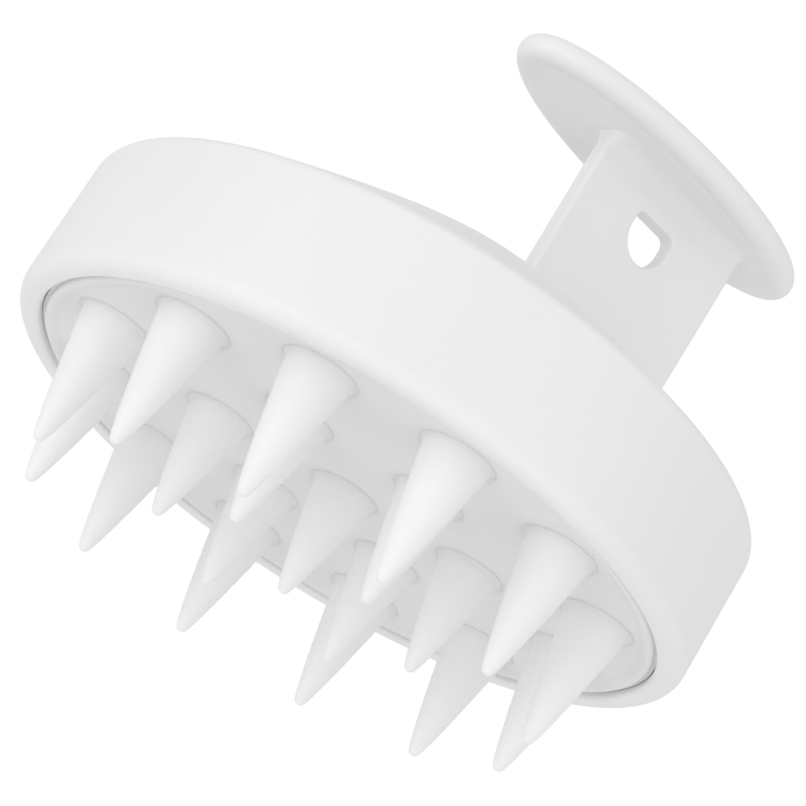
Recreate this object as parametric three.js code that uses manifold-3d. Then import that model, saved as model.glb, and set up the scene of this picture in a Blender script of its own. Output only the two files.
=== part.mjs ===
// Scalp massager brush: a hand-held shampoo brush with soft conical bristles.
// Millimetres, +Z up. The origin is on the brush's axis, level with the tips of the outer bristles,
// so the brush stands on z = 0. The flat stem plate lies along X.
import * as THREE from "three";
import { mergeVertices } from "three/addons/utils/BufferGeometryUtils.js";
import Module from "manifold-3d";

const wasm = await Module();
wasm.setup();

// ---------------------------------------------------------------- driving dimensions
const HEAD_RADIUS = 40;           // outside of the head's wall
const RIM_Z = 14;                 // underside of the head's rim
const WALL_TOP_Z = 28.6;          // where the wall turns over into the dome
const WALL = 2.2;                 // thickness of wall and cover
const GAP = 0.3;                  // running gap between neighbouring pieces
const HEAD_STEPS = 64;            // facets round the head

const LIP_INNER = 37.1;           // opening that the pad sits in
const LIP_OUTER_ROUND = 1.8;      // rounding of the rim's outer edge
const LIP_INNER_ROUND = 0.5;      // rounding of the rim's inner edge

const LEDGE_INNER = 34.6;         // ledge inside the wall that takes the push of the carrier plate
const LEDGE_Z = 19.6;             // underside of the ledge
const LEDGE_THICK = 1.5;

const DOME_SLOPE = 0.54;          // slope that the cover tends to near its edge
const DOME_BLEND = 14;            // radius over which the cover flattens at its middle
const SHOULDER = 1.1;             // rounding of the wall's top edge
const SEAM_RADIUS = 38.7;         // where the top cover drops into the wall's top edge
const REBATE_Z = 28.2;            // step inside the wall that the cover rests on
const SKIRT_DEPTH = 2.5;          // skirt of the cover, inside the wall

const PAD_RADIUS = 36.8;
const PAD_TOP_Z = 17.2;
const PAD_FACE_Z = 14.8;          // face that the bristles stand on
const PAD_BEAD_Z = 14.35;         // lowest point of the bead round the pad's edge
const PAD_EDGE_ROUND = 0.5;
const PAD_BEAD_WIDTH = 2.4;

const CARRIER_RADIUS = 36.4;
const CARRIER_THICK = 1.8;
const HOOK_COUNT = 6;
const HOOK_WIDTH = 5;
const HOOK_THICK = 1.2;
const HOOK_REACH = 0.8;           // how far a hook's barb reaches over the ledge

const BRISTLE_TIP = 0.85;         // radius of the rounded tip
const BRISTLE_RELIEF = Math.tan(THREE.MathUtils.degToRad(15.6));  // clearance cone at the root
const BRISTLE_STEPS = 14;
const OUTER_RING = { name: "outer_bristle", count: 12, radius: 29.9, first: 15, base: 3.5, tipZ: 0 };
const INNER_RING = { name: "inner_bristle", count: 6, radius: 15.3, first: 30, base: 3.3, tipZ: 2 };
const CENTRE_BRISTLE = { name: "centre_bristle", base: 3.3, tipZ: 2 };

const STEM_X = 15.6;              // middle of the stem plate, off the head's axis
const STEM_WIDTH_LOW = 22.2;
const STEM_WIDTH_HIGH = 23.2;
const STEM_THICK = 2.4;
const STEM_ROUND = 0.6;           // rounding of the plate's edges
const TONGUE_WIDTH = 14;          // tongue of the stem, through the slot in the cover
const TONGUE_THICK = 1.6;
const TONGUE_DEPTH = 4.5;
const TENON_WIDTH = 18;           // tenon of the stem, in the cap's pocket

const CAP_X = 12.2;               // middle of the finger cap
const CAP_HALF_LENGTH = 22.6;
const CAP_HALF_WIDTH = 9.9;
const CAP_Z = 66.4;               // lowest point of the cap's edge
const CAP_EDGE = 3;               // thickness of the cap's edge
const CAP_CROWN = 2;              // rise of the cap's top
const CAP_HOLLOW = 0.5;           // depth of the cap's hollow underside
const CAP_POCKET = 1.4;           // depth of the pocket that takes the stem's tenon

const HOLE_X = 15.3;              // hanging hole in the stem: flat at the top, round below
const HOLE_TOP_Z = 62.5;
const HOLE_SIDE_Z = 60.6;         // height where its round lower half starts
const HOLE_BOTTOM_Z = 57.2;
const HOLE_HALF_WIDTH = 3;
const HOLE_ROUND = 1;

// ---------------------------------------------------------------- materials
const hardWhite = new THREE.MeshStandardMaterial({ color: 0xf1f1f1, roughness: 0.35, metalness: 0 });
const insideWhite = new THREE.MeshStandardMaterial({ color: 0xe4e4e2, roughness: 0.6, metalness: 0 });
const siliconeWhite = new THREE.MeshStandardMaterial({ color: 0xeeeeee, roughness: 0.5, metalness: 0 });

// ---------------------------------------------------------------- helpers
const part = new THREE.Group();

function place(name, geometry, material) {
  const mesh = new THREE.Mesh(geometry, material);
  mesh.name = name;
  part.add(mesh);
  return mesh;
}

function toSolid(geometry) {
  const bare = geometry.clone();
  bare.deleteAttribute("normal");
  bare.deleteAttribute("uv");
  const merged = mergeVertices(bare, 1e-4);
  const triVerts = new Uint32Array(merged.index.array);
  const vertProperties = new Float32Array(merged.attributes.position.array);
  return new wasm.Manifold(new wasm.Mesh({ numProp: 3, vertProperties, triVerts }));
}

function toGeometry(solid) {
  const mesh = solid.getMesh();
  const geometry = new THREE.BufferGeometry();
  geometry.setAttribute("position", new THREE.BufferAttribute(new Float32Array(mesh.vertProperties), 3));
  geometry.setIndex(new THREE.BufferAttribute(new Uint32Array(mesh.triVerts), 1));
  geometry.computeVertexNormals();
  return geometry;
}

// A turned solid about Z from a list of [radius, z].
function turned(profile, steps) {
  const points = profile.map(([r, z]) => new THREE.Vector2(r, z));
  return new THREE.LatheGeometry(points, steps).rotateX(Math.PI / 2);
}

// Points on an arc in the [radius, z] plane, angles in degrees.
function arc(centreR, centreZ, radius, from, to, steps) {
  const points = [];
  for (let i = 0; i <= steps; i++) {
    const a = THREE.MathUtils.degToRad(from + ((to - from) * i) / steps);
    points.push([centreR + radius * Math.cos(a), centreZ + radius * Math.sin(a)]);
  }
  return points;
}

function box(width, depth, height, x, y, z) {
  return new THREE.BoxGeometry(width, depth, height).translate(x, y, z);
}

// ---------------------------------------------------------------- the head
const domeReach = Math.hypot(HEAD_RADIUS, DOME_BLEND);

// Height of the cover's outer surface at a distance from the axis.
function domeZ(radius) {
  return WALL_TOP_Z + SHOULDER + DOME_SLOPE * (domeReach - Math.hypot(radius, DOME_BLEND));
}

function domeLine(fromRadius, toRadius, drop, steps) {
  const points = [];
  for (let i = 0; i <= steps; i++) {
    const radius = fromRadius + ((toRadius - fromRadius) * i) / steps;
    points.push([radius, domeZ(radius) - drop]);
  }
  return points;
}

function sideCasing() {
  const inner = HEAD_RADIUS - WALL;
  const lip = arc(HEAD_RADIUS - LIP_OUTER_ROUND, RIM_Z + LIP_OUTER_ROUND, LIP_OUTER_ROUND, -90, 0, 5);
  const lipInside = arc(LIP_INNER + LIP_INNER_ROUND, RIM_Z + LIP_INNER_ROUND, LIP_INNER_ROUND, 180, 270, 3);
  const shoulder = arc(HEAD_RADIUS - SHOULDER, WALL_TOP_Z, SHOULDER, 0, 62, 4);
  const seam = SEAM_RADIUS + GAP / 2;
  const profile = [
    ...lipInside,
    ...lip,
    ...shoulder,
    [seam, domeZ(seam) - 0.05],
    [seam, REBATE_Z],
    [inner, REBATE_Z],
    [inner, LEDGE_Z + LEDGE_THICK + 1],
    [LEDGE_INNER, LEDGE_Z + LEDGE_THICK],
    [LEDGE_INNER, LEDGE_Z],
    [LIP_INNER, LEDGE_Z],
    lipInside[0],
  ];
  return turned(profile, HEAD_STEPS);
}

function topCover() {
  const skirtOuter = HEAD_RADIUS - WALL - GAP;
  const skirtInner = skirtOuter - 1.4;
  const foot = REBATE_Z + GAP;
  const seam = SEAM_RADIUS - GAP / 2;
  const profile = [
    [skirtOuter, foot],
    [seam, foot],
    ...domeLine(seam, 0, 0, 13),
    ...domeLine(0, skirtInner - 2, WALL, 8),
    [skirtInner, foot - 1],
    [skirtInner, foot - SKIRT_DEPTH],
    [skirtOuter, foot - SKIRT_DEPTH],
    [skirtOuter, foot],
  ];
  const slot = box(TONGUE_WIDTH + 2 * GAP, TONGUE_THICK + 2 * GAP, 40, STEM_X, 0, domeZ(0));
  return toGeometry(toSolid(turned(profile, HEAD_STEPS)).subtract(toSolid(slot)));
}

// ---------------------------------------------------------------- the handle
function hangingHole() {
  const left = HOLE_X - HOLE_HALF_WIDTH;
  const right = HOLE_X + HOLE_HALF_WIDTH;
  const hole = new THREE.Shape();
  hole.moveTo(left + HOLE_ROUND, HOLE_TOP_Z);
  hole.quadraticCurveTo(left, HOLE_TOP_Z, left, HOLE_TOP_Z - HOLE_ROUND);
  hole.lineTo(left, HOLE_SIDE_Z);
  const drop = HOLE_SIDE_Z - HOLE_BOTTOM_Z;
  hole.absellipse(HOLE_X, HOLE_SIDE_Z, HOLE_HALF_WIDTH, drop, Math.PI, 2 * Math.PI, false, 0);
  hole.lineTo(right, HOLE_TOP_Z - HOLE_ROUND);
  hole.quadraticCurveTo(right, HOLE_TOP_Z, right - HOLE_ROUND, HOLE_TOP_Z);
  hole.closePath();
  const cutter = new THREE.ExtrudeGeometry(hole, { depth: 3 * STEM_THICK, curveSegments: 10, bevelEnabled: false });
  return cutter.rotateX(Math.PI / 2).translate(0, 1.5 * STEM_THICK, 0);
}

// The plate is drawn in X and Z, longer than needed at both ends, and trimmed by its neighbours.
function stemPlate() {
  const lowZ = 26;
  const highZ = CAP_Z + 8;
  const lowHalf = STEM_WIDTH_LOW / 2 - STEM_ROUND;
  const highHalf = STEM_WIDTH_HIGH / 2 - STEM_ROUND;
  const outline = new THREE.Shape();
  outline.moveTo(STEM_X - lowHalf, lowZ);
  outline.lineTo(STEM_X + lowHalf, lowZ);
  outline.lineTo(STEM_X + highHalf, highZ);
  outline.lineTo(STEM_X - highHalf, highZ);
  outline.closePath();
  const plate = new THREE.ExtrudeGeometry(outline, {
    depth: STEM_THICK - 2 * STEM_ROUND,
    bevelThickness: STEM_ROUND,
    bevelSize: STEM_ROUND,
    bevelSegments: 3,
  });
  plate.rotateX(Math.PI / 2).translate(0, STEM_THICK / 2 - STEM_ROUND, 0);
  const above = box(60, 20, 40, STEM_X, 0, capUndersideZ() - GAP + 20);
  const head = turned([[0, 0], [HEAD_RADIUS, 0], ...domeLine(HEAD_RADIUS, 0, -GAP, 16)], HEAD_STEPS);
  const tongueTop = domeZ(STEM_X) + 1;
  const tongueBottom = domeZ(STEM_X + TONGUE_WIDTH / 2) - WALL - TONGUE_DEPTH;
  const tongue = box(TONGUE_WIDTH, TONGUE_THICK, tongueTop - tongueBottom, STEM_X, 0, (tongueTop + tongueBottom) / 2);
  const tenonTop = capUndersideZ() + CAP_POCKET - GAP;
  const tenon = box(TENON_WIDTH, TONGUE_THICK, 3, STEM_X, 0, tenonTop - 1.5);
  const trims = [above, head, hangingHole()];
  const trimmed = trims.reduce((solid, cutter) => solid.subtract(toSolid(cutter)), toSolid(plate));
  return toGeometry(trimmed.add(toSolid(tongue)).add(toSolid(tenon)));
}

function capUndersideZ() {
  return CAP_Z + CAP_HOLLOW;
}

function fingerCap() {
  const round = CAP_EDGE / 2;
  const edge = arc(CAP_HALF_LENGTH - round, CAP_Z + round, round, -90, 75, 6);
  const crown = [];
  const [crownR, crownZ] = edge[edge.length - 1];
  for (let i = 1; i <= 5; i++) {
    const radius = crownR * (1 - i / 5);
    crown.push([radius, crownZ + CAP_CROWN * (1 - (radius / crownR) ** 2)]);
  }
  const profile = [[0, capUndersideZ()], [CAP_HALF_LENGTH * 0.62, capUndersideZ()], ...edge, ...crown];
  const disc = turned(profile, 48).scale(1, CAP_HALF_WIDTH / CAP_HALF_LENGTH, 1).translate(CAP_X, 0, 0);
  const pocket = box(TENON_WIDTH + 2 * GAP, TONGUE_THICK + 2 * GAP, 2 * CAP_POCKET, STEM_X, 0, capUndersideZ());
  return toGeometry(toSolid(disc).subtract(toSolid(pocket)));
}

// ---------------------------------------------------------------- the pad and what carries it
function bristlePad() {
  const bead = arc(PAD_RADIUS - PAD_EDGE_ROUND, PAD_BEAD_Z + PAD_EDGE_ROUND, PAD_EDGE_ROUND, -90, 0, 4);
  const profile = [
    [0, PAD_FACE_Z],
    [PAD_RADIUS - PAD_BEAD_WIDTH - 0.8, PAD_FACE_Z],
    [PAD_RADIUS - PAD_BEAD_WIDTH, PAD_FACE_Z - 0.2],
    ...bead,
    [PAD_RADIUS, PAD_TOP_Z],
    [0, PAD_TOP_Z],
  ];
  return turned(profile, HEAD_STEPS);
}

function carrierPlate() {
  const low = PAD_TOP_Z + GAP;
  const high = low + CARRIER_THICK;
  const plate = turned([[0, low], [CARRIER_RADIUS, low], [CARRIER_RADIUS, high], [0, high]], HEAD_STEPS);
  let solid = toSolid(plate);
  const hookOuter = LEDGE_INNER - GAP;
  const barbLow = LEDGE_Z + LEDGE_THICK + 0.5;
  const hookTop = barbLow + 1.6;
  const hook = new THREE.Shape();
  hook.moveTo(hookOuter - HOOK_THICK, low + 0.4);
  hook.lineTo(hookOuter, low + 0.4);
  hook.lineTo(hookOuter, barbLow);
  hook.lineTo(hookOuter + HOOK_REACH, barbLow + 0.3);
  hook.lineTo(hookOuter, hookTop);
  hook.lineTo(hookOuter - HOOK_THICK, hookTop);
  hook.closePath();
  for (let i = 0; i < HOOK_COUNT; i++) {
    const body = new THREE.ExtrudeGeometry(hook, { depth: HOOK_WIDTH, bevelEnabled: false });
    body.translate(0, 0, -HOOK_WIDTH / 2).rotateX(Math.PI / 2).rotateZ((i * 2 * Math.PI) / HOOK_COUNT);
    solid = solid.add(toSolid(body));
  }
  return toGeometry(solid);
}

// ---------------------------------------------------------------- the bristles
// A soft cone that hangs from its root at the pad's face; the root has a clearance cone so that the
// bristle can lean without meeting the pad.
function bristle({ base, tipZ }) {
  const rootZ = PAD_FACE_Z - GAP;
  const shoulderZ = rootZ - base * BRISTLE_RELIEF;
  const tipCentreZ = tipZ + BRISTLE_TIP;
  const profile = arc(0, tipCentreZ, BRISTLE_TIP, -90, -14, 4);
  profile[0][0] = 0;
  const [startR, startZ] = profile[profile.length - 1];
  for (let i = 1; i <= 5; i++) {
    const t = i / 5;
    profile.push([startR + (base - startR) * t ** 0.88, startZ + (shoulderZ - startZ) * t]);
  }
  profile.push([0, rootZ]);
  return turned(profile, BRISTLE_STEPS);
}

function bristleRing(ring) {
  for (let i = 0; i < ring.count; i++) {
    const angle = THREE.MathUtils.degToRad(ring.first + (360 * i) / ring.count);
    const name = `${ring.name}_${String(i + 1).padStart(2, "0")}`;
    const mesh = place(name, bristle(ring), siliconeWhite);
    mesh.position.set(ring.radius * Math.cos(angle), ring.radius * Math.sin(angle), 0);
    mesh.rotation.z = angle;
  }
}

// ---------------------------------------------------------------- assembly
place("side_casing", sideCasing(), hardWhite);
place("top_cover", topCover(), hardWhite);
place("stem_plate", stemPlate(), hardWhite);
place("finger_cap", fingerCap(), hardWhite);
place("bristle_pad", bristlePad(), siliconeWhite);
place("carrier_plate", carrierPlate(), insideWhite);
bristleRing(OUTER_RING);
bristleRing(INNER_RING);
place(CENTRE_BRISTLE.name, bristle(CENTRE_BRISTLE), siliconeWhite);

export default part;
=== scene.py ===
import math

import bmesh
import bpy
from mathutils import Matrix, Vector
from mathutils.geometry import delaunay_2d_cdt


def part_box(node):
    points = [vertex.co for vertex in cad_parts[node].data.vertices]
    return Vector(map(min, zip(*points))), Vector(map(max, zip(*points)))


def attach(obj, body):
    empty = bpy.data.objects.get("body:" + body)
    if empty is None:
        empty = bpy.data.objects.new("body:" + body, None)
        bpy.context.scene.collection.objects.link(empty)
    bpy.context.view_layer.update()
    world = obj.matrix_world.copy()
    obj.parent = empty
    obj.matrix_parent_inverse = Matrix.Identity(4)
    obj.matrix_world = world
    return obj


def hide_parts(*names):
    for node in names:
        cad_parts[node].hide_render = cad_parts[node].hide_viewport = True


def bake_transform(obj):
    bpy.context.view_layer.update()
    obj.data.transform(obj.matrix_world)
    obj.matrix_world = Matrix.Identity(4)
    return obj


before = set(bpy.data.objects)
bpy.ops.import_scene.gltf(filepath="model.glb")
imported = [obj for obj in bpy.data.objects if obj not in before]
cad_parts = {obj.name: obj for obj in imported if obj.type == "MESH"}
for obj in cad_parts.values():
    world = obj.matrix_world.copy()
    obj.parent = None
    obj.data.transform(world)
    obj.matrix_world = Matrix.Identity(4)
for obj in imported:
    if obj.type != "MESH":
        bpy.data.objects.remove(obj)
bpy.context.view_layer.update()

MM = 0.001
SHARP_ANGLE = math.radians(34)   # edges that turn by more than this stay crisp

# ------------------------------------------------------------------ sizes read from the frame
casing_low, casing_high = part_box("side_casing")
_, cover_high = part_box("top_cover")
pad_low, pad_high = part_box("bristle_pad")
cap_low, cap_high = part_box("finger_cap")
stem_low, stem_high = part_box("stem_plate")
_, outer_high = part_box("outer_bristle_01")

HEAD_RADIUS = casing_high.x
RIM_Z = casing_low.z
PAD_RADIUS = pad_high.x
PAD_BEAD_Z = pad_low.z
PAD_TOP_Z = pad_high.z
APEX_Z = cover_high.z
STEM_X = (stem_low.x + stem_high.x) / 2
STEM_HALF_THICK = stem_high.y
CAP_X = (cap_low.x + cap_high.x) / 2
CAP_HALF_LENGTH = (cap_high.x - cap_low.x) / 2
CAP_HALF_WIDTH = cap_high.y
CAP_Z = cap_low.z
CAP_TOP_Z = cap_high.z
GAP = 0.3 * MM
PAD_FACE_Z = outer_high.z + GAP

# ------------------------------------------------------------------ shape of the surfaces
LIP_INNER = 37.1 * MM
LIP_OUTER_ROUND = 1.8 * MM
LIP_INNER_ROUND = 0.5 * MM
WALL_INNER = 37.8 * MM
LEDGE_INNER = 34.6 * MM
LEDGE_Z = 19.6 * MM
LEDGE_THICK = 1.5 * MM
SHOULDER = 1.1 * MM
SEAM_RADIUS = 38.7 * MM
REBATE_Z = 28.2 * MM
SKIRT_DEPTH = 2.5 * MM
SKIRT_THICK = 1.4 * MM
COVER_THICK = 2.2 * MM
DOME_SLOPE = 0.54
DOME_BLEND = 14 * MM

STEM_HALF_LOW = 11.2 * MM
STEM_HALF_HIGH = 11.5 * MM
STEM_ROUND = 0.55 * MM
STEM_FILLET = 2.2 * MM         # height of the fillet under the cap, and its reach on the flat faces
STEM_END_FILLET = 0.35 * MM     # its reach at the plate's narrow ends
TONGUE = Vector((14, 1.6, 4.5)) * MM
TENON_WIDTH = 18 * MM
CAP_EDGE_ROUND = 1.5 * MM
CAP_HOLLOW = 0.5 * MM
CAP_HOLLOW_WIDTH = 2.2 * MM     # width of the slope into the hollow
CAP_POCKET = 1.4 * MM

HOLE_X = 15.3 * MM
HOLE_TOP_Z = 62.5 * MM
HOLE_SIDE_Z = 60.6 * MM
HOLE_BOTTOM_Z = 57.2 * MM
HOLE_HALF_WIDTH = 3 * MM
HOLE_RIM = 0.3 * MM

BEAD_ROUND = 0.5 * MM
BEAD_OUTER = 36.6 * MM
BEAD_INNER = 34.75 * MM         # just outside the roots of the outer bristles
FLANGE_RADIUS = 37 * MM         # thin flange of the pad, the floor of the groove round it
FLANGE_Z = 14.95 * MM
SEAT_DEPTH = 0.12 * MM
SEAT_CREASE = 0.01 * MM
FOOT_DEPTH = 0.6 * SEAT_DEPTH   # how far a bristle's foot goes into its seat
BRISTLE_TIP = 0.68 * MM
BRISTLE_BULGE = 0.86
ROOT_FILLET = 0.5 * MM
ROOT_PROUD = 0.02 * MM         # thickness of the fillet's thin edge on the pad
OUTER_BASE = 3.75 * MM
INNER_BASE = 3.5 * MM


# ------------------------------------------------------------------ mesh helpers
def fillet(corners, closed=True, step=math.radians(9)):
    """Points of an outline whose corners (a, b, radius) are rounded; radius 0 keeps the corner."""
    points = []
    count = len(corners)
    for i, (a, b, radius) in enumerate(corners):
        here = Vector((a, b))
        if radius == 0 or (not closed and i in (0, count - 1)):
            points.append(here)
            continue
        before = (Vector(corners[i - 1][:2]) - here).normalized()
        after = (Vector(corners[(i + 1) % count][:2]) - here).normalized()
        half = before.angle(after) / 2
        reach = radius / math.tan(half)
        centre = here + (before + after).normalized() * (radius / math.sin(half))
        start = here + before * reach - centre
        turn = math.pi - 2 * half
        side = 1 if before.x * after.y - before.y * after.x < 0 else -1
        steps = max(2, math.ceil(turn / step))
        for k in range(steps + 1):
            c, s = math.cos(side * turn * k / steps), math.sin(side * turn * k / steps)
            points.append(centre + Vector((start.x * c - start.y * s, start.x * s + start.y * c)))
    return points


def arc(centre_a, centre_b, radius, start, end, steps):
    """Points on an arc, angles in degrees."""
    angles = [math.radians(start + (end - start) * i / steps) for i in range(steps + 1)]
    return [Vector((centre_a + radius * math.cos(t), centre_b + radius * math.sin(t))) for t in angles]


def bridge(mesh, rings, close_rings=False):
    """Quads between rings of vertices with the same count; a ring of one vertex is a pole."""
    pairs = list(zip(rings, rings[1:] + (rings[:1] if close_rings else [])))
    for low, high in pairs if close_rings else pairs[: len(rings) - 1]:
        count = max(len(low), len(high))
        for i in range(count):
            j = (i + 1) % count
            corners = [low[i % len(low)], low[j % len(low)], high[j % len(high)], high[i % len(high)]]
            face = list(dict.fromkeys(corners))
            if len(face) > 2:
                mesh.faces.new(face)


def turned_rings(mesh, profile, steps, centre=(0, 0)):
    """Rings of vertices about the Z axis through centre, one for each profile point (r, z)."""
    rings = []
    for radius, z in profile:
        count = 1 if radius < 1e-7 else steps
        turn = [2 * math.pi * i / count for i in range(count)]
        rings.append([
            mesh.verts.new((centre[0] + radius * math.cos(t), centre[1] + radius * math.sin(t), z))
            for t in turn
        ])
    return rings


def make_object(name, mesh):
    """A smooth-shaded object from a bmesh whose normals are made to point out."""
    bmesh.ops.remove_doubles(mesh, verts=mesh.verts, dist=1e-7)
    bmesh.ops.recalc_face_normals(mesh, faces=mesh.faces)
    data = bpy.data.meshes.new(name)
    mesh.to_mesh(data)
    mesh.free()
    return shaded(name, data)


def shaded(name, data):
    """A smooth-shaded object in the scene."""
    data.shade_smooth()
    data.set_sharp_from_angle(angle=SHARP_ANGLE)
    thing = bpy.data.objects.new(name, data)
    bpy.context.scene.collection.objects.link(thing)
    return thing


def turned(name, profile, steps=256, centre=(0, 0)):
    """A turned solid; a profile that starts and ends off the axis closes on itself."""
    mesh = bmesh.new()
    rings = turned_rings(mesh, profile, steps, centre)
    bridge(mesh, rings, close_rings=len(rings[0]) > 1)
    return make_object(name, mesh)


def block(size, centre, rounding):
    """A block with rounded upright edges, used as a tongue or a cutter."""
    half = size / 2
    corners = [(-half.x, -half.y), (half.x, -half.y), (half.x, half.y), (-half.x, half.y)]
    outline = fillet([(centre.x + a, centre.y + b, rounding) for a, b in corners])
    mesh = bmesh.new()
    rings = [
        [mesh.verts.new((p.x, p.y, z)) for p in outline]
        for z in (centre.z - half.z, centre.z + half.z)
    ]
    bridge(mesh, rings)
    mesh.faces.new(rings[0])
    mesh.faces.new(rings[1])
    return make_object("cutter", mesh)


def combine(target, tools, operation):
    """target joined with, or cut by, tools, which are used up."""
    for tool in tools:
        step = target.modifiers.new("combine", "BOOLEAN")
        step.operation, step.solver, step.object = operation, "EXACT", tool
    graph = bpy.context.evaluated_depsgraph_get()
    data = bpy.data.meshes.new_from_object(target.evaluated_get(graph))
    name = target.name
    for thing in [target, *tools]:
        bpy.data.objects.remove(thing)
    return shaded(name, data)


def keep_flats_flat(thing):
    """Large flat faces keep their own normals, so that only the roundings shade as curves."""
    weight = thing.modifiers.new("weighted normals", "WEIGHTED_NORMAL")
    weight.keep_sharp = True
    weight.weight = 90


# ------------------------------------------------------------------ material helpers
class Nodes:
    """A short way to write a node tree."""

    def __init__(self, material):
        material.use_nodes = True
        self.tree = material.node_tree
        self.shader = self.tree.nodes["Principled BSDF"]
        self.place = self.add("ShaderNodeTexCoord").outputs["Object"]

    def add(self, kind, **values):
        node = self.tree.nodes.new(kind)
        for key, value in values.items():
            setattr(node, key, value)
        return node

    def link(self, source, target):
        self.tree.links.new(source, target)

    def noise(self, scale, detail=2.0, roughness=0.5):
        """Noise over the object's own coordinates; scale is in features per metre."""
        node = self.add("ShaderNodeTexNoise")
        self.link(self.place, node.inputs["Vector"])
        node.inputs["Scale"].default_value = scale
        node.inputs["Detail"].default_value = detail
        node.inputs["Roughness"].default_value = roughness
        return node.outputs["Fac"]

    def spread(self, source, low, high, from_low=0.3, from_high=0.7):
        """source, from one range of values to another."""
        node = self.add("ShaderNodeMapRange")
        self.link(source, node.inputs["Value"])
        node.inputs["From Min"].default_value = from_low
        node.inputs["From Max"].default_value = from_high
        node.inputs["To Min"].default_value = low
        node.inputs["To Max"].default_value = high
        return node.outputs["Result"]

    def mix(self, factor, first, second):
        node = self.add("ShaderNodeMix", data_type="RGBA")
        self.link(factor, node.inputs["Factor"])
        for socket, value in (("A", first), ("B", second)):
            target = [s for s in node.inputs if s.identifier == f"{socket}_Color"][0]
            if isinstance(value, tuple):
                target.default_value = value
            else:
                self.link(value, target)
        return [s for s in node.outputs if s.identifier == "Result_Color"][0]

    def bump(self, height, distance, normal=None):
        node = self.add("ShaderNodeBump")
        self.link(height, node.inputs["Height"])
        node.inputs["Distance"].default_value = distance
        if normal is not None:
            self.link(normal, node.inputs["Normal"])
        return node.outputs["Normal"]

    def set(self, **values):
        for key, value in values.items():
            self.shader.inputs[key.replace("_", " ")].default_value = value

    def feed(self, **sources):
        for key, source in sources.items():
            self.link(source, self.shader.inputs[key.replace("_", " ")])


def grey(value, warmth=0.0):
    """A near-neutral colour, in linear light; warmth lifts red and lowers blue."""
    return (value * (1 + warmth), value, value * (1 - warmth), 1.0)


def moulded_plastic(name, light, dark, rough):
    """Hard moulded plastic: a faint cloudiness, fine moulding texture and slightly uneven gloss."""
    material = bpy.data.materials.new(name)
    n = Nodes(material)
    cloud = n.spread(n.noise(38, 3), 0, 1)
    fleck = n.spread(n.noise(900, 4, 0.6), 0, 0.35, 0.45, 0.75)
    n.feed(Base_Color=n.mix(fleck, n.mix(cloud, light, dark), dark))
    n.feed(Roughness=n.spread(n.noise(120, 4, 0.6), rough - 0.05, rough + 0.06))
    waves = n.bump(n.noise(260, 2), 0.012 * MM)
    n.feed(Normal=n.bump(n.noise(3200, 3, 0.55), 0.006 * MM, waves))
    n.set(IOR=1.49)
    return material


def silicone(name, light, dark, rough, depth):
    """Soft silicone: light goes a little way in, over a faint powdery surface."""
    material = bpy.data.materials.new(name)
    n = Nodes(material)
    cloud = n.spread(n.noise(60, 3), 0, 1)
    dust = n.spread(n.noise(1500, 5, 0.65), 0, 0.4, 0.45, 0.8)
    n.feed(Base_Color=n.mix(dust, n.mix(cloud, light, dark), dark))
    n.feed(Roughness=n.spread(n.noise(300, 4, 0.6), rough - 0.05, rough + 0.08))
    n.feed(Normal=n.bump(n.noise(2400, 4, 0.6), 0.010 * MM))
    n.set(IOR=1.41, Subsurface_Weight=0.3, Subsurface_Scale=depth)
    n.set(Subsurface_Radius=(1.0, 0.97, 0.94))
    return material


shell_white = moulded_plastic("shell_white", grey(0.88), grey(0.85, 0.004), 0.34)
inside_white = moulded_plastic("inside_white", grey(0.78), grey(0.74, 0.006), 0.52)
pad_white = silicone("pad_white", grey(0.82), grey(0.79, 0.004), 0.50, 1.6 * MM)
# bristle_lit_white is the pad's silicone made lighter: painted light, because the bristles face the lamps
# more than the pad's face does
bristle_lit_white = silicone("bristle_lit_white", grey(0.90), grey(0.87, 0.003), 0.46, 2.0 * MM)


def dress(thing, material, body="head"):
    """Gives a piece its material and slot, and lets it ride on its body."""
    thing.data.materials.clear()
    thing.data.materials.append(material)
    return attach(thing, body)


# ------------------------------------------------------------------ the head's shells
wall_top = REBATE_Z + 0.4 * MM
dome_reach = math.hypot(HEAD_RADIUS, DOME_BLEND)


def dome_z(radius):
    """Height of the cover's outer surface at a distance from the axis."""
    return wall_top + SHOULDER + DOME_SLOPE * (dome_reach - math.hypot(radius, DOME_BLEND))


def dome_line(start, end, drop, steps):
    radii = [start + (end - start) * i / steps for i in range(steps + 1)]
    return [Vector((r, dome_z(r) - drop)) for r in radii]


def side_casing():
    """The wall ring with its rolled lip, the ledge inside it and the rebate that takes the cover."""
    seam = SEAM_RADIUS + GAP / 2
    corners = [
        (LIP_INNER, RIM_Z, LIP_INNER_ROUND),
        (HEAD_RADIUS, RIM_Z, LIP_OUTER_ROUND),
        (HEAD_RADIUS, dome_z(HEAD_RADIUS), SHOULDER),
        (seam, dome_z(seam), 0.12 * MM),
        (seam, REBATE_Z, 0.1 * MM),
        (WALL_INNER, REBATE_Z, 0.15 * MM),
        (WALL_INNER, LEDGE_Z + LEDGE_THICK + 1 * MM, 0.4 * MM),
        (LEDGE_INNER, LEDGE_Z + LEDGE_THICK, 0.3 * MM),
        (LEDGE_INNER, LEDGE_Z, 0.3 * MM),
        (LIP_INNER, LEDGE_Z, 0.3 * MM),
    ]
    casing = turned("casing_shell", fillet(corners), steps=320)
    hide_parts("side_casing")
    return dress(casing, shell_white)


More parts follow.
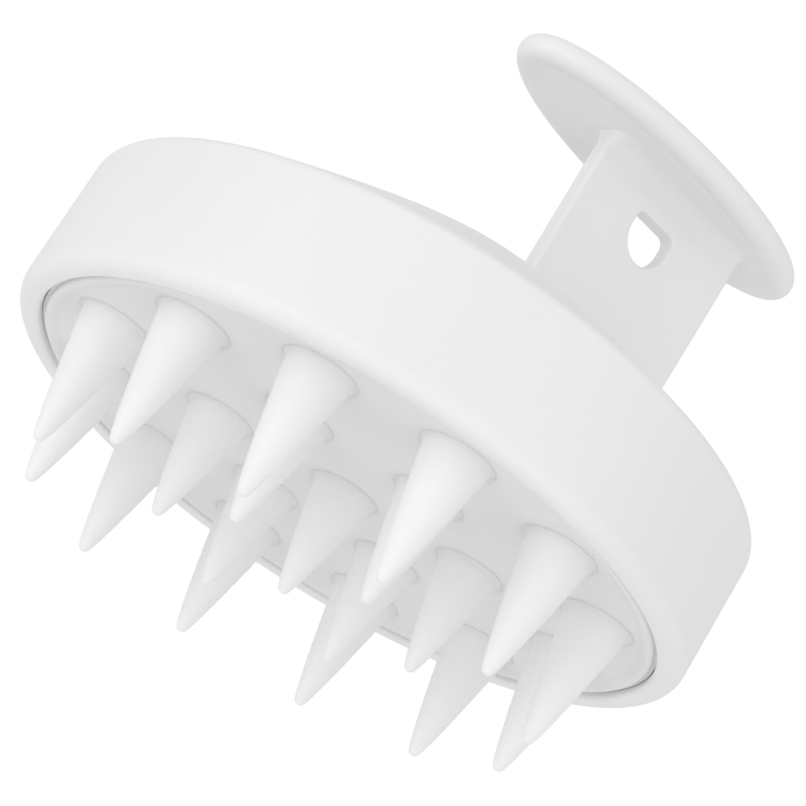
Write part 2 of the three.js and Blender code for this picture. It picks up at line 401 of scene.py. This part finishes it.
def top_cover():
    """The domed cover with its skirt, and the slot that the stem's tongue goes through."""
    seam = SEAM_RADIUS - GAP / 2
    skirt_outer = WALL_INNER - GAP
    skirt_inner = skirt_outer - SKIRT_THICK
    foot = REBATE_Z + GAP
    edge = fillet([
        (skirt_inner, foot - SKIRT_DEPTH, 0.2 * MM),
        (skirt_outer, foot - SKIRT_DEPTH, 0.3 * MM),
        (skirt_outer, foot, 0.1 * MM),
        (seam, foot, 0.1 * MM),
        (seam, dome_z(seam), 0.15 * MM),
        (seam - 2 * MM, dome_z(seam - 2 * MM), 0),
    ], closed=False)
    outside = dome_line(seam - 2 * MM, 0, 0, 60)[1:]
    inside = dome_line(0, skirt_inner - 2 * MM, COVER_THICK, 36)
    profile = edge + outside + inside
    mesh = bmesh.new()
    rings = turned_rings(mesh, profile, 320)
    bridge(mesh, rings, close_rings=True)
    cover = make_object("cover_shell", mesh)
    slot_size = Vector((TONGUE.x + 2 * GAP, TONGUE.y + 2 * GAP, 40 * MM))
    cutter = block(slot_size, Vector((STEM_X, 0, APEX_Z)), 0.5 * MM)
    cover = combine(cover, [cutter], "DIFFERENCE")
    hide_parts("top_cover")
    return dress(cover, shell_white)


# ------------------------------------------------------------------ the handle
def plate_outline(half_width, half_thick, rounding, steps=12):
    """A rounded rectangle about the stem's middle, starting at its +X +Y corner."""
    points = []
    for quarter, (sx, sy) in enumerate([(1, 1), (-1, 1), (-1, -1), (1, -1)]):
        centre_x = STEM_X + sx * (half_width - rounding)
        centre_y = sy * (half_thick - rounding)
        points += arc(centre_x, centre_y, rounding, 90 * quarter, 90 * quarter + 90, steps)
    return points


def hole_outline():
    """The hanging hole in X and Z: flat at the top, half an ellipse at the bottom."""
    left, right = HOLE_X - HOLE_HALF_WIDTH, HOLE_X + HOLE_HALF_WIDTH
    top = fillet([
        (right, HOLE_SIDE_Z, 0),
        (right, HOLE_TOP_Z, 1 * MM),
        (left, HOLE_TOP_Z, 1 * MM),
        (left, HOLE_SIDE_Z, 0),
    ], closed=False)
    turn = [math.pi * (1 + i / 24) for i in range(1, 24)]
    drop = HOLE_SIDE_Z - HOLE_BOTTOM_Z
    low = [Vector((HOLE_X + HOLE_HALF_WIDTH * math.cos(t), HOLE_SIDE_Z + drop * math.sin(t))) for t in turn]
    return top + low


def grown(outline, distance):
    """An outline, drawn anticlockwise, moved outwards by a distance."""
    moved = []
    count = len(outline)
    for i, point in enumerate(outline):
        along = (outline[(i + 1) % count] - outline[i - 1]).normalized()
        moved.append(point + Vector((along.y, -along.x)) * distance)
    return moved


def hole_cutter():
    """The hanging hole as a solid that flares at both faces, which leaves rounded rims."""
    outline = hole_outline()
    stations = []
    for k in range(0, 9):
        angle = math.radians(10 * k)
        grow = HOLE_RIM * (1 - math.cos(angle))
        stations.append((STEM_HALF_THICK - HOLE_RIM + HOLE_RIM * math.sin(angle), grow))
    beyond = stations[-1][0] + 0.2 * MM, stations[-1][1] + 0.2 * MM / math.tan(math.radians(10))
    stations.append(beyond)
    both = [(-y, grow) for y, grow in reversed(stations)] + stations
    mesh = bmesh.new()
    rings = [[mesh.verts.new((p.x, y, p.y)) for p in grown(outline, grow)] for y, grow in both]
    bridge(mesh, rings)
    mesh.faces.new(rings[0])
    mesh.faces.new(rings[-1])
    return make_object("cutter", mesh)


def stem_plate():
    """The flat stem: a rounded plate that flares into the cap above and ends on the dome below."""
    under_cap = CAP_Z + CAP_HOLLOW
    flare_z = under_cap - STEM_FILLET
    mesh = bmesh.new()
    foot = plate_outline(STEM_HALF_LOW, STEM_HALF_THICK, STEM_ROUND)
    rings = [[mesh.verts.new((p.x, p.y, dome_z(p.length) - 0.35 * MM)) for p in foot]]
    for k in range(0, 13):
        angle = math.radians(90 * k / 12)
        grow = STEM_FILLET * (1 - math.cos(angle))
        z = flare_z + STEM_FILLET * math.sin(angle) + 0.02 * MM * k / 12
        end_grow = STEM_END_FILLET * (1 - math.cos(angle))
        ring = plate_outline(STEM_HALF_HIGH + end_grow, STEM_HALF_THICK + grow, STEM_ROUND + grow)
        rings.append([mesh.verts.new((p.x, p.y, z)) for p in ring])
    bridge(mesh, rings)
    mesh.faces.new(rings[0])
    mesh.faces.new(rings[-1])
    stem = make_object("handle_stem", mesh)
    tongue_top = dome_z(STEM_X) + 1 * MM
    tongue_low = dome_z(STEM_X + TONGUE.x / 2) - COVER_THICK - TONGUE.z
    size = Vector((TONGUE.x, TONGUE.y, tongue_top - tongue_low))
    tongue = block(size, Vector((STEM_X, 0, (tongue_top + tongue_low) / 2)), 0.4 * MM)
    tenon_size = Vector((TENON_WIDTH, TONGUE.y, 3 * MM))
    tenon_top = under_cap + CAP_POCKET - GAP
    tenon = block(tenon_size, Vector((STEM_X, 0, tenon_top - tenon_size.z / 2)), 0.4 * MM)
    stem = combine(stem, [tongue, tenon], "UNION")
    stem = combine(stem, [hole_cutter()], "DIFFERENCE")
    keep_flats_flat(stem)
    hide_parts("stem_plate")
    return dress(stem, shell_white)


def oval(inset, count=192):
    """The cap's oval outline, moved inwards by a distance."""
    points = []
    for i in range(count):
        t = 2 * math.pi * i / count
        normal = Vector((math.cos(t) / CAP_HALF_LENGTH, math.sin(t) / CAP_HALF_WIDTH)).normalized()
        edge = Vector((CAP_HALF_LENGTH * math.cos(t), CAP_HALF_WIDTH * math.sin(t)))
        points.append(edge - normal * inset)
    return points


def finger_cap():
    """The oval cap that the fingers rest on: a low crown, a round edge and a hollow underside."""
    edge = CAP_EDGE_ROUND
    inset_limit = edge + CAP_HOLLOW_WIDTH
    under = [(inset_limit - CAP_HOLLOW_WIDTH * k / 10, math.cos(math.pi * k / 10)) for k in range(11)]
    sections = [(inset, CAP_Z + CAP_HOLLOW * (0.5 + 0.5 * wave)) for inset, wave in under]
    round_off = arc(edge, CAP_Z + edge, edge, -90, 72, 18)[1:]
    sections += [(2 * edge - p.x, p.y) for p in round_off]
    crown_inset, crown_z = sections[-1]
    crown_rise = CAP_TOP_Z - crown_z
    mesh = bmesh.new()
    middle = Vector((CAP_X, 0, 0))
    inner = oval(inset_limit)
    rings = [[mesh.verts.new(middle + Vector((0, 0, CAP_Z + CAP_HOLLOW)))]]
    for share in (0.2, 0.45, 0.7, 0.9):
        rings.append([
            mesh.verts.new(middle + Vector((p.x * share, p.y * share, CAP_Z + CAP_HOLLOW))) for p in inner
        ])
    for inset, z in sections:
        rings.append([mesh.verts.new(middle + Vector((p.x, p.y, z))) for p in oval(inset)])
    top = oval(crown_inset)
    for k in range(1, 24):
        share = 1 - k / 24
        z = crown_z + crown_rise * (1 - share ** 2)
        rings.append([mesh.verts.new(middle + Vector((p.x * share, p.y * share, z))) for p in top])
    rings.append([mesh.verts.new(middle + Vector((0, 0, CAP_TOP_Z)))])
    bridge(mesh, rings)
    cap = make_object("handle_cap", mesh)
    pocket_size = Vector((TENON_WIDTH + 2 * GAP, TONGUE.y + 2 * GAP, 2 * CAP_POCKET))
    pocket = block(pocket_size, Vector((STEM_X, 0, CAP_Z + CAP_HOLLOW)), 0.4 * MM)
    cap = combine(cap, [pocket], "DIFFERENCE")
    keep_flats_flat(cap)
    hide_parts("finger_cap")
    return dress(cap, shell_white)


# ------------------------------------------------------------------ the pad and the bristles
bristle_names = sorted(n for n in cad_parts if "bristle" in n and n != "bristle_pad")


def bristle_place(node):
    """Middle, tip height and root radius of a bristle."""
    low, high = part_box(node)
    base = OUTER_BASE if node.startswith("outer") else INNER_BASE
    return (low.x + high.x) / 2, (low.y + high.y) / 2, low.z, base


def bristle_pad():
    """The pad: a thin flange, a beaded edge and a flat face with a shallow seat for each root."""
    steps = 256
    mesh = bmesh.new()
    bead_centre = BEAD_OUTER - BEAD_ROUND
    slope_width = bead_centre - BEAD_INNER
    profile = [Vector((0, PAD_TOP_Z))]
    profile += fillet([
        (0.5 * PAD_RADIUS, PAD_TOP_Z, 0),
        (FLANGE_RADIUS, PAD_TOP_Z, 0.4 * MM),
        (FLANGE_RADIUS, FLANGE_Z, 0.05 * MM),
        (BEAD_OUTER, FLANGE_Z, 0.04 * MM),
        (BEAD_OUTER, PAD_BEAD_Z + BEAD_ROUND, 0),
    ], closed=False)
    profile += arc(bead_centre, PAD_BEAD_Z + BEAD_ROUND, BEAD_ROUND, 0, -90, 10)[1:]
    for k in range(1, 15):
        share = k / 14
        z = PAD_BEAD_Z + (PAD_FACE_Z - PAD_BEAD_Z) * (0.5 - 0.5 * math.cos(math.pi * share))
        profile.append(Vector((bead_centre - slope_width * share, z)))
    rings = turned_rings(mesh, profile, steps)
    bridge(mesh, rings)
    face_rim = [Vector(v.co.xy) for v in rings[-1]]
    seats = []
    for node in bristle_names:
        x, y, _, base = bristle_place(node)
        seats.append((Vector((x, y)), base + ROOT_FILLET + SEAT_CREASE))
    outlines = [face_rim]
    for centre, radius in seats:
        outlines.append([Vector((p.x, p.y)) for p in arc(centre.x, centre.y, radius, 0, 360, 72)[:-1]])
    points, edges = [], []
    for outline in outlines:
        start = len(points)
        points += outline
        edges += [(start + i, start + (i + 1) % len(outline)) for i in range(len(outline))]
    flat_points, _, triangles, *_ = delaunay_2d_cdt(points, edges, [], 0, 1e-9)
    flat = [mesh.verts.new((p.x, p.y, PAD_FACE_Z)) for p in flat_points]
    for triangle in triangles:
        middle = sum((flat_points[i] for i in triangle), Vector((0, 0))) / 3
        if all((middle - centre).length > radius for centre, radius in seats):
            mesh.faces.new([flat[i] for i in triangle])
    for outline in outlines[1:]:
        rim = [mesh.verts.new((p.x, p.y, PAD_FACE_Z)) for p in outline]
        deep = [mesh.verts.new((p.x, p.y, PAD_FACE_Z + SEAT_DEPTH)) for p in outline]
        bridge(mesh, [rim, deep])
        mesh.faces.new(deep)
    bmesh.ops.delete(mesh, geom=[v for v in mesh.verts if not v.link_faces], context="VERTS")
    pad = make_object("silicone_pad", mesh)
    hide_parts("bristle_pad")
    return dress(pad, pad_white)


def bristle_profile(tip_z, base):
    """Half section of a bristle: round tip, slightly full cone, fillet and a thin round foot."""
    tip_centre = tip_z + BRISTLE_TIP
    points = arc(0, tip_centre, BRISTLE_TIP, -90, -14, 12)
    points[0] = Vector((0, tip_z))
    start = points[-1].copy()
    cone_end = PAD_FACE_Z - ROOT_FILLET
    cone_base = base - 0.1 * MM
    for k in range(1, 25):
        t = k / 24
        radius = start.x + (cone_base - start.x) * t ** BRISTLE_BULGE
        points.append(Vector((radius, start.y + (cone_end - start.y) * t)))
    foot = base + ROOT_FILLET
    for k in range(1, 9):
        t = math.radians(90 * k / 8)
        radius = cone_base + (foot - cone_base) * (1 - math.cos(t))
        points.append(Vector((radius, cone_end + (ROOT_FILLET - ROOT_PROUD) * math.sin(t))))
    points.append(Vector((foot, PAD_FACE_Z + FOOT_DEPTH)))
    points.append(Vector((0, PAD_FACE_Z + FOOT_DEPTH)))
    return points


def bristle(node):
    """One silicone cone, turned about the bristle's middle, with a round tip and a filleted root in the
    pad's seat.
    """
    x, y, tip_z, base = bristle_place(node)
    cone = turned(f"{node}_cone", bristle_profile(tip_z, base), steps=64, centre=(x, y))
    cone.data.materials.append(bristle_lit_white)
    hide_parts(node)
    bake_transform(cone)
    return cone


# ------------------------------------------------------------------ floor, light and camera
FLOOR_RADIUS = 3
FLOOR_Z = -0.05 * MM            # just below the bristles' tips


def floor():
    """A pale round floor that shows from above only; it takes the shadow and lights nothing."""
    mesh = bmesh.new()
    centre = mesh.verts.new((0, 0, FLOOR_Z))
    ring = [
        mesh.verts.new((FLOOR_RADIUS * math.cos(t), FLOOR_RADIUS * math.sin(t), FLOOR_Z))
        for t in (2 * math.pi * i / 96 for i in range(96))
    ]
    bridge(mesh, [ring, [centre]])
    ground = make_object("floor", mesh)
    if ground.data.polygons[0].normal.z < 0:
        ground.data.flip_normals()
    material = bpy.data.materials.new("floor_pale")
    n = Nodes(material)
    n.feed(Base_Color=n.mix(n.spread(n.noise(8, 4), 0, 1), grey(0.86), grey(0.84)))
    n.set(Roughness=0.8)
    clear = n.add("ShaderNodeBsdfTransparent")
    side = n.add("ShaderNodeNewGeometry").outputs["Backfacing"]
    switch = n.add("ShaderNodeMixShader")
    n.link(side, switch.inputs[0])
    n.link(n.shader.outputs["BSDF"], switch.inputs[1])
    n.link(clear.outputs["BSDF"], switch.inputs[2])
    n.link(switch.outputs["Shader"], n.tree.nodes["Material Output"].inputs["Surface"])
    ground.data.materials.append(material)
    ground.visible_diffuse = False
    ground.visible_glossy = False
    ground.visible_transmission = False
    ground.visible_shadow = False


VIEW_AZIMUTH = -29.3
VIEW_ELEVATION = -19.29
VIEW_ROLL = 32.01
VIEW_DISTANCE = 335.2 * MM
VIEW_LENS = 143.8
VIEW_SLIDE = (6.53 * MM, 9.93 * MM)
LIGHT_SIZE = 0.9
LIGHT_REACH = 0.8
LIGHT_AIM_Z = 35 * MM


def view_axes():
    """The camera's right, up and back directions."""
    azimuth, elevation = math.radians(VIEW_AZIMUTH), math.radians(VIEW_ELEVATION)
    level = math.cos(elevation)
    back = Vector((math.sin(azimuth) * level, -math.cos(azimuth) * level, math.sin(elevation)))
    across = Vector((0, 0, 1)).cross(back).normalized()
    above = back.cross(across)
    roll = math.radians(VIEW_ROLL)
    right = math.cos(roll) * across + math.sin(roll) * above
    up = -math.sin(roll) * across + math.cos(roll) * above
    return right, up, back


def camera():
    right, up, back = view_axes()
    eye = bpy.data.cameras.new("camera")
    eye.lens = VIEW_LENS
    eye.sensor_width = 36
    eye.clip_start, eye.clip_end = 0.01, 20
    seat = bpy.data.objects.new("camera", eye)
    bpy.context.scene.collection.objects.link(seat)
    middle = Vector((0, 0, RIM_Z))
    place = middle + right * VIEW_SLIDE[0] + up * VIEW_SLIDE[1] + back * VIEW_DISTANCE
    turn = Matrix((right, up, back)).transposed().to_4x4()
    seat.matrix_world = Matrix.Translation(place) @ turn
    bpy.context.scene.camera = seat


def softbox(name, right, up, back, power):
    """A square soft light at a direction given along the camera's right, up and back."""
    axes = view_axes()
    direction = (axes[0] * right + axes[1] * up + axes[2] * back).normalized()
    lamp = bpy.data.lights.new(name, "AREA")
    lamp.shape = "SQUARE"
    lamp.size = LIGHT_SIZE
    lamp.energy = power
    box = bpy.data.objects.new(name, lamp)
    bpy.context.scene.collection.objects.link(box)
    box.location = Vector((0, 0, LIGHT_AIM_Z)) + direction * LIGHT_REACH
    box.rotation_mode = "QUATERNION"
    box.rotation_quaternion = direction.to_track_quat("Z", "Y")


def surroundings(backdrop, ambient):
    """A white backdrop for the camera, and even light of a chosen strength for the object."""
    world = bpy.data.worlds.new("studio")
    bpy.context.scene.world = world
    world.use_nodes = True
    tree = world.node_tree
    seen = tree.nodes["Background"]
    seen.inputs["Color"].default_value = (1, 1, 1, 1)
    seen.inputs["Strength"].default_value = backdrop
    shed = tree.nodes.new("ShaderNodeBackground")
    shed.inputs["Color"].default_value = (1, 1, 1, 1)
    shed.inputs["Strength"].default_value = ambient
    ray = tree.nodes.new("ShaderNodeLightPath")
    switch = tree.nodes.new("ShaderNodeMixShader")
    tree.links.new(ray.outputs["Is Camera Ray"], switch.inputs[0])
    tree.links.new(shed.outputs["Background"], switch.inputs[1])
    tree.links.new(seen.outputs["Background"], switch.inputs[2])
    tree.links.new(switch.outputs["Shader"], tree.nodes["World Output"].inputs["Surface"])


# ------------------------------------------------------------------ assembly
camera()
side_casing()
top_cover()
stem_plate()
finger_cap()
bristle_pad()
for name in bristle_names:
    bristle(name)
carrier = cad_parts["carrier_plate"]
carrier.data.materials.clear()
carrier.data.materials.append(inside_white)

floor()
surroundings(backdrop=1.0, ambient=0.76)
softbox("key", right=-0.55, up=0.45, back=0.8, power=1.9)
softbox("fill", right=0.7, up=-0.2, back=0.7, power=0.6)
softbox("under", right=-0.1, up=-0.85, back=0.6, power=0.65)
bpy.context.scene.view_settings.view_transform = "Standard"
